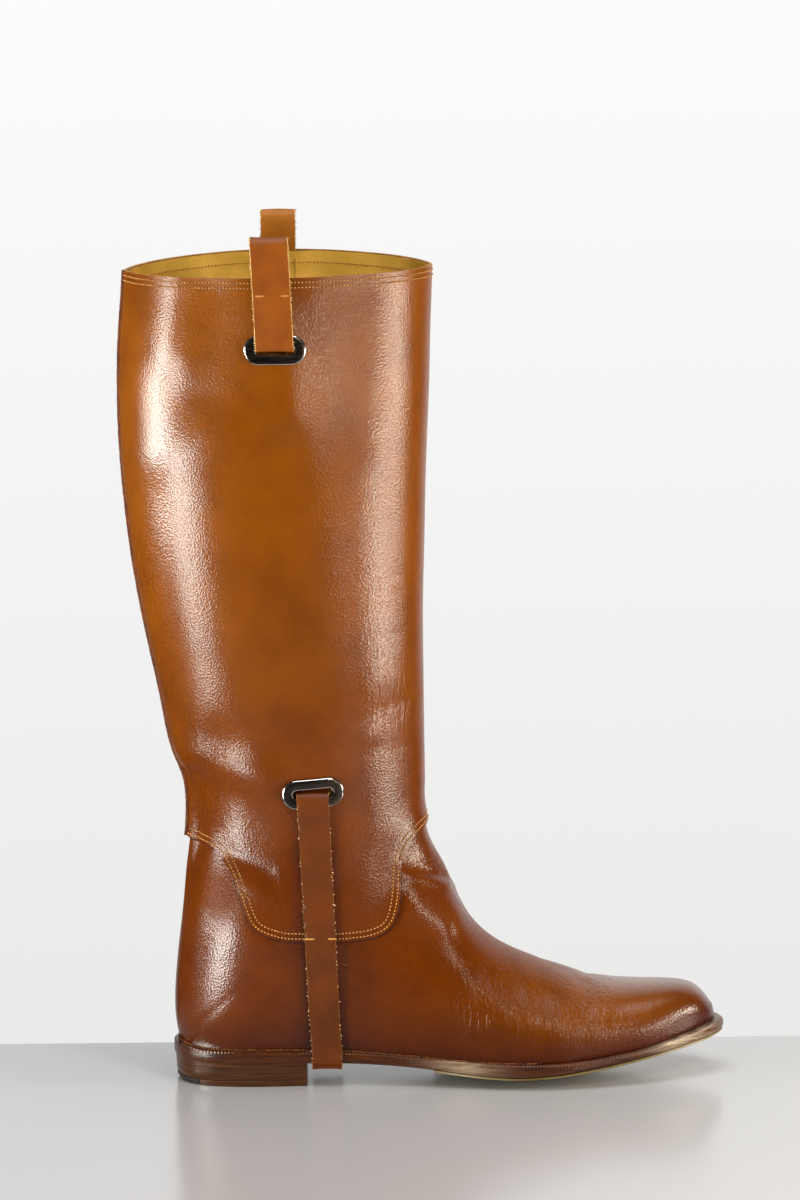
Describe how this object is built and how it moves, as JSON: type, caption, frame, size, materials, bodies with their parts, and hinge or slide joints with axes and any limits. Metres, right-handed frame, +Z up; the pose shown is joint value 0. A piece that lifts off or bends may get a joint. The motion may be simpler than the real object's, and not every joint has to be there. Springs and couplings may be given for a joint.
{
  "type": "leather riding boot",
  "caption": "Tall tan leather riding boot with a stacked heel, pull loops through metal plates at the collar and a strap under the waist of the sole.",
  "frame": {"origin": "on the floor under the middle of the heel", "axes": "+X to the toe, +Z up, -Y to the outer side of the foot"},
  "size_m": [0.3003, 0.11, 0.4324],
  "materials": {
    "polished_tan_leather": "polished calf leather, tan with darker wear",
    "strap_leather": "satin strap leather with raw cut edges",
    "burnished_sole_leather": "burnished and waxed sole edge",
    "half_sole_leather": "raw sole leather",
    "heel_lift_leather": "stacked lifts, burnished",
    "black_rubber": "matt rubber",
    "insole_leather": "matt lining leather",
    "gunmetal_plate": "polished dark plating with bright rims"
  },
  "bodies": {
    "root": {"upper": "polished_tan_leather", "shaft": "polished_tan_leather", "back_seam": "polished_tan_leather", "pull_loop_outer": "strap_leather", "pull_loop_inner": "strap_leather", "stirrup_strap": "strap_leather", "outsole": "burnished_sole_leather", "half_sole": "half_sole_leather", "heel_stack": "heel_lift_leather", "top_lift": "heel_lift_leather", "rubber_tip": "black_rubber", "insole": "insole_leather", "upper_eyelet_outer": "gunmetal_plate", "upper_eyelet_inner": "gunmetal_plate", "lower_eyelet_outer": "gunmetal_plate", "lower_eyelet_inner": "gunmetal_plate"}
  },
  "joints": []
}
